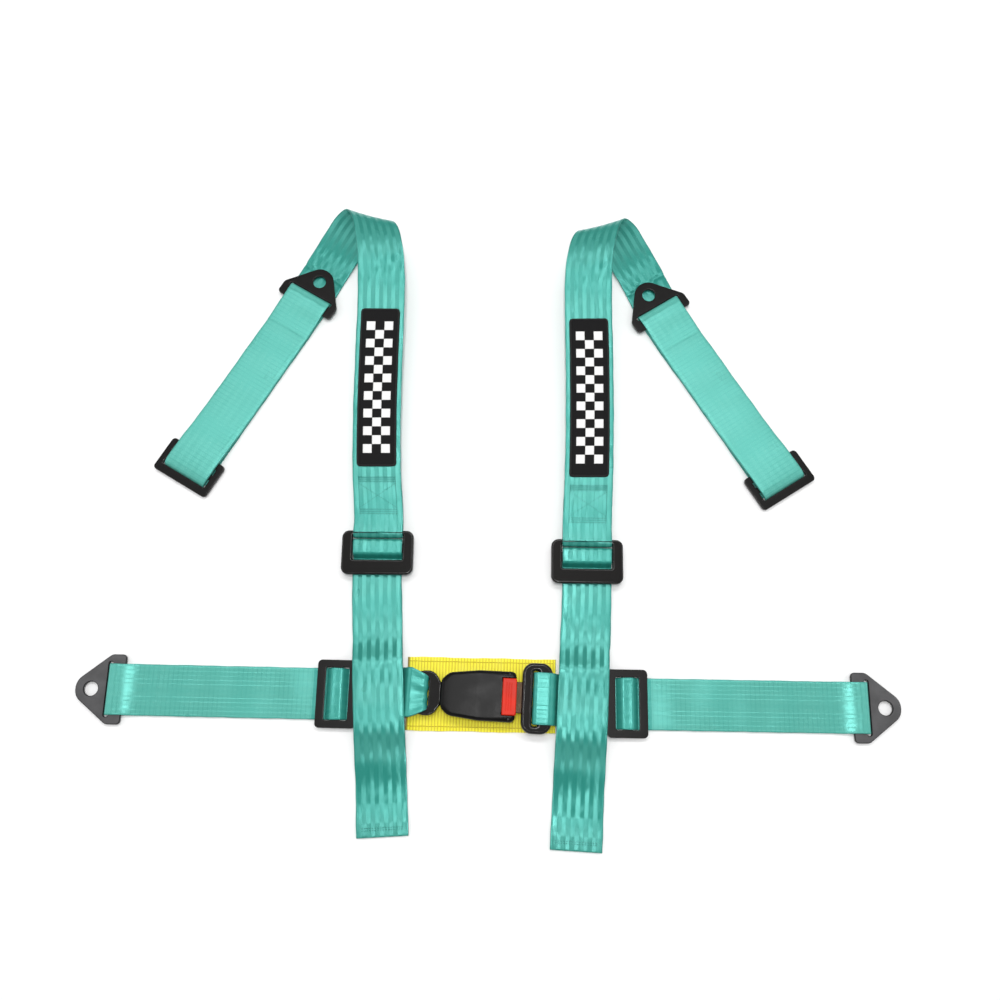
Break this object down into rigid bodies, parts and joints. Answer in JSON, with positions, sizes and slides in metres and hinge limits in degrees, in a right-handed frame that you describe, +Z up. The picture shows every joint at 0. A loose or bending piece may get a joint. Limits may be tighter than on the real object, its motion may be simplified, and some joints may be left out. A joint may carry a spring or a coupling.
{
  "type": "racing harness",
  "caption": "Webbing safety harness laid flat: shoulder and lap belts with sliding and tilt-lock adjusters, bolt-in anchor plates, latch buckle with red button and belly pad.",
  "frame": {"origin": "on the surface it lies on, under the middle of its bounding box", "axes": "+X along the lap belts towards the tongue's side, +Y towards the rear shoulder anchors, +Z up out of the surface"},
  "size_m": [0.8133, 0.6679, 0.0458],
  "materials": {
    "teal_webbing": "woven polyester webbing with a satin sheen",
    "yellow_webbing": "coarse ribbed webbing",
    "plate_metal": "satin dark grey phosphated steel",
    "black_metal": "satin black",
    "black_plastic": "fine textured black",
    "red_plastic": "smooth red",
    "steel": "zinc plated",
    "spring_steel": "spring steel",
    "patch_fabric": "embroidered felt"
  },
  "bodies": {
    "root": {"lap_belt_return_left": "teal_webbing", "lap_belt_left": "teal_webbing", "shoulder_end_slide_left": "black_metal", "shoulder_return_left": "teal_webbing", "shoulder_return_end_left": "teal_webbing", "shoulder_strap_rear_left": "teal_webbing", "shoulder_strap_fold_left": "teal_webbing", "shoulder_strap_front_left": "teal_webbing", "shoulder_patch_left": "patch_fabric", "shoulder_tail_left": "teal_webbing", "shoulder_link_left": "teal_webbing", "buckle_cover_lower": "black_plastic", "buckle_cover_upper": "black_plastic", "buckle_screw_front": "steel", "buckle_screw_rear": "steel", "buckle_eye": "black_plastic", "buckle_frame": "steel", "buckle_rivet_front": "steel", "buckle_rivet_rear": "steel", "button_spring": "spring_steel", "ejector_spring": "spring_steel", "buckle_loop": "teal_webbing", "belly_pad": "yellow_webbing"},
    "lap_plate_left": {"lap_anchor_plate_left": "plate_metal", "lap_anchor_loop_left": "teal_webbing"},
    "lap_adjuster_left": {"lap_slide_left": "black_metal", "lap_slide_roll_left": "teal_webbing"},
    "shoulder_plate_left": {"shoulder_anchor_plate_left": "black_metal", "shoulder_anchor_loop_left": "teal_webbing"},
    "adjuster_left": {"adjuster_frame_left": "black_plastic"},
    "lock_bar_left": {"adjuster_lock_bar_left": "steel", "adjuster_strap_roll_left": "teal_webbing"},
    "lap_plate_right": {"lap_anchor_plate_right": "plate_metal", "lap_anchor_loop_right": "teal_webbing"},
    "lap_adjuster_right": {"lap_slide_right": "black_metal", "lap_slide_roll_right": "teal_webbing"},
    "shoulder_plate_right": {"shoulder_anchor_plate_right": "black_metal", "shoulder_anchor_loop_right": "teal_webbing"},
    "adjuster_right": {"adjuster_frame_right": "black_plastic"},
    "lock_bar_right": {"adjuster_lock_bar_right": "steel", "adjuster_strap_roll_right": "teal_webbing"},
    "release_button": {"release_button": "red_plastic"},
    "latch": {"latch_leaf": "spring_steel"},
    "ejector": {"ejector": "black_plastic"},
    "harness_right": {"lap_belt_return_right": "teal_webbing", "lap_belt_right": "teal_webbing", "shoulder_end_slide_right": "black_metal", "shoulder_return_right": "teal_webbing", "shoulder_return_end_right": "teal_webbing", "shoulder_strap_rear_right": "teal_webbing", "shoulder_strap_fold_right": "teal_webbing", "shoulder_strap_front_right": "teal_webbing", "shoulder_patch_right": "patch_fabric", "shoulder_tail_right": "teal_webbing", "shoulder_link_right": "teal_webbing", "tongue_plate": "steel", "tongue_cover": "black_plastic", "tongue_loop": "teal_webbing"}
  },
  "joints": [
    {"name": "tongue_slide", "type": "slide", "parent": "root", "child": "harness_right", "axis": [0.9986, -0.0523, 0], "range_m": [0, 0.045], "deforming": ["latch_leaf"]},
    {"name": "lap_plate_hinge_left", "type": "hinge", "parent": "root", "child": "lap_plate_left", "pos_m": [-0.34756, -0.18082, 0.00292], "axis": [0.0209, 0.9998, 0], "range_deg": [0, 80]},
    {"name": "lap_slide_travel_left", "type": "slide", "parent": "root", "child": "lap_adjuster_left", "axis": [-0.9998, 0.0209, 0], "range_m": [0, 0.15], "deforming": ["lap_belt_return_left"]},
    {"name": "shoulder_plate_hinge_left", "type": "hinge", "parent": "root", "child": "shoulder_plate_left", "pos_m": [-0.20828, 0.22197, 0.00454], "axis": [0.8581, -0.5135, 0], "range_deg": [0, 80]},
    {"name": "adjuster_tilt_left", "type": "hinge", "parent": "root", "child": "adjuster_left", "pos_m": [-0.11159, -0.02395, 0.0098], "axis": [-0.9999, 0.0105, 0], "range_deg": [0, 50]},
    {"name": "lock_bar_slide_left", "type": "slide", "parent": "adjuster_left", "child": "lock_bar_left", "axis": [0.0105, 0.9999, 0], "range_m": [0, 0.002]},
    {"name": "lap_plate_hinge_right", "type": "hinge", "parent": "harness_right", "child": "lap_plate_right", "pos_m": [0.34767, -0.19817, 0.00292], "axis": [-0.0175, -0.9998, 0], "range_deg": [0, 80]},
    {"name": "lap_slide_travel_right", "type": "slide", "parent": "harness_right", "child": "lap_adjuster_right", "axis": [0.9998, -0.0175, 0], "range_m": [0, 0.15], "deforming": ["lap_belt_return_right"]},
    {"name": "shoulder_plate_hinge_right", "type": "hinge", "parent": "harness_right", "child": "shoulder_plate_right", "pos_m": [0.1985, 0.20633, 0.00454], "axis": [0.8526, 0.5225, 0], "range_deg": [0, 80]},
    {"name": "adjuster_tilt_right", "type": "hinge", "parent": "harness_right", "child": "adjuster_right", "pos_m": [0.10136, -0.03325, 0.0098], "axis": [-0.9998, 0.0175, 0], "range_deg": [0, 50]},
    {"name": "lock_bar_slide_right", "type": "slide", "parent": "adjuster_right", "child": "lock_bar_right", "axis": [0.0175, 0.9998, 0], "range_m": [0, 0.002]},
    {"name": "button_press", "type": "slide", "parent": "root", "child": "release_button", "axis": [-0.9986, 0.0523, 0], "range_m": [0, 0.004], "stiffness_N_per_m": 900, "deforming": ["button_spring"]},
    {"name": "latch_lift", "type": "hinge", "parent": "root", "child": "latch", "pos_m": [-0.02847, -0.18595, 0.0113], "axis": [-0.0523, -0.9986, 0], "range_deg": [0, 4.7]},
    {"name": "ejector_slide", "type": "slide", "parent": "root", "child": "ejector", "axis": [0.9986, -0.0523, 0], "range_m": [0, 0.0081], "deforming": ["ejector_spring"]}
  ],
  "couplings": [
    {"joint": "latch_lift", "follows": "button_press", "rad_per_m": 20},
    {"joint": "ejector_slide", "follows": "tongue_slide", "ratio": 0.1778}
  ]
}
